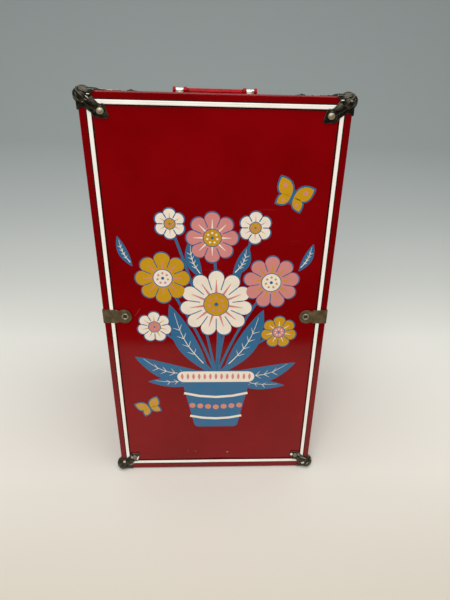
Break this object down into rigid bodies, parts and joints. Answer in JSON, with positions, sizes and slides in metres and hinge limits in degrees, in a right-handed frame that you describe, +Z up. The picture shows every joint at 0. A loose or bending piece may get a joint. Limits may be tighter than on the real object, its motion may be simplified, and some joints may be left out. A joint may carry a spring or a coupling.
{
  "type": "doll wardrobe trunk",
  "caption": "Upright doll's wardrobe trunk that opens in two hinged halves, with metal corners, a top handle, a hanging rail and drawers.",
  "frame": {"origin": "on the floor under the middle of the closed trunk", "axes": "+X to the right and +Z up with the pictured face towards -Y; the front half opens round the hinges on the -X side"},
  "size_m": [0.2371, 0.2286, 0.4191],
  "materials": {
    "red_board": "hardboard faced in glossy red lacquer",
    "red_edging": "sheet steel in glossy red enamel",
    "lining_paper": "pasted lining paper",
    "dark_bronze": "pressed steel in worn black-bronze",
    "aged_brass": "aged brass plate",
    "nickel": "nickel plate, slightly dulled",
    "lip_metal": "plain strip",
    "red_plastic": "moulded, glossy",
    "white_plastic": "moulded, glossy",
    "drawer_board": "papered board"
  },
  "bodies": {
    "back_half": {"back_binding_bottom": "red_edging", "back_binding_left": "red_edging", "back_binding_right": "red_edging", "back_binding_top": "red_edging", "back_board_bottom": "red_board", "back_board_left": "red_board", "back_board_right": "red_board", "back_board_top": "red_board", "back_clamp_left": "aged_brass", "back_clamp_right": "aged_brass", "back_corner_bottom_left": "dark_bronze", "back_corner_bottom_right": "dark_bronze", "back_corner_top_left": "dark_bronze", "back_corner_top_right": "dark_bronze", "back_lining": "lining_paper", "back_panel": "red_board", "back_rim": "red_edging", "drawer_case": "drawer_board", "handle_saddle_left": "nickel", "handle_saddle_right": "nickel", "hanging_rail": "nickel", "hinge_lower_back_leaf": "nickel", "hinge_lower_pin": "nickel", "hinge_upper_back_leaf": "nickel", "hinge_upper_pin": "nickel", "inner_lip": "lip_metal", "latch_plate": "nickel", "rail_socket_left": "nickel", "rail_socket_right": "nickel"},
    "front_half": {"front_binding_bottom": "red_edging", "front_binding_left": "red_edging", "front_binding_right": "red_edging", "front_binding_top": "red_edging", "front_board_bottom": "red_board", "front_board_left": "red_board", "front_board_right": "red_board", "front_board_top": "red_board", "front_clamp_left": "aged_brass", "front_clamp_right": "aged_brass", "front_corner_bottom_left": "dark_bronze", "front_corner_bottom_right": "dark_bronze", "front_corner_top_left": "dark_bronze", "front_corner_top_right": "dark_bronze", "front_lining": "lining_paper", "front_panel": "red_board", "front_rim": "red_edging", "hinge_upper_front_leaf": "nickel", "hinge_lower_front_leaf": "nickel", "hasp_plate": "nickel"},
    "hasp": {"hasp": "nickel"},
    "turning_stud": {"turning_stud": "nickel"},
    "handle": {"handle": "red_plastic"},
    "drawer_upper": {"drawer_upper": "drawer_board", "drawer_upper_knob": "red_plastic"},
    "drawer_lower": {"drawer_lower": "drawer_board", "drawer_lower_knob": "red_plastic"},
    "hanger_1": {"hanger_1": "white_plastic"},
    "hanger_2": {"hanger_2": "white_plastic"},
    "hanger_3": {"hanger_3": "white_plastic"}
  },
  "joints": [
    {"name": "door_hinge", "type": "hinge", "parent": "back_half", "child": "front_half", "pos_m": [-0.115, 0, 0.2076], "axis": [0, 0, -1], "range_deg": [0, 175]},
    {"name": "hasp_hinge", "type": "hinge", "parent": "front_half", "child": "hasp", "pos_m": [0.1137, -0.009, 0.2076], "axis": [0, 0, -1], "range_deg": [-11, 135]},
    {"name": "stud_turn", "type": "hinge", "parent": "back_half", "child": "turning_stud", "pos_m": [0.1117, 0.016, 0.2076], "axis": [1, 0, 0], "range_deg": [0, 90]},
    {"name": "handle_hinge", "type": "hinge", "parent": "back_half", "child": "handle", "pos_m": [-0.0022, 0.019, 0.4155], "axis": [1, 0, 0], "range_deg": [0, 180]},
    {"name": "upper_drawer_slide", "type": "slide", "parent": "back_half", "child": "drawer_upper", "axis": [0, -1, 0], "range_m": [0, 0.08]},
    {"name": "lower_drawer_slide", "type": "slide", "parent": "back_half", "child": "drawer_lower", "axis": [0, -1, 0], "range_m": [0, 0.08]},
    {"name": "hanger_1_swing", "type": "hinge", "parent": "back_half", "child": "hanger_1", "pos_m": [-0.045, 0.0529, 0.3761], "axis": [1, 0, 0], "range_deg": [-20, 20]},
    {"name": "hanger_2_swing", "type": "hinge", "parent": "back_half", "child": "hanger_2", "pos_m": [0, 0.0529, 0.3761], "axis": [1, 0, 0], "range_deg": [-20, 20]},
    {"name": "hanger_3_swing", "type": "hinge", "parent": "back_half", "child": "hanger_3", "pos_m": [0.045, 0.0529, 0.3761], "axis": [1, 0, 0], "range_deg": [-20, 20]}
  ]
}
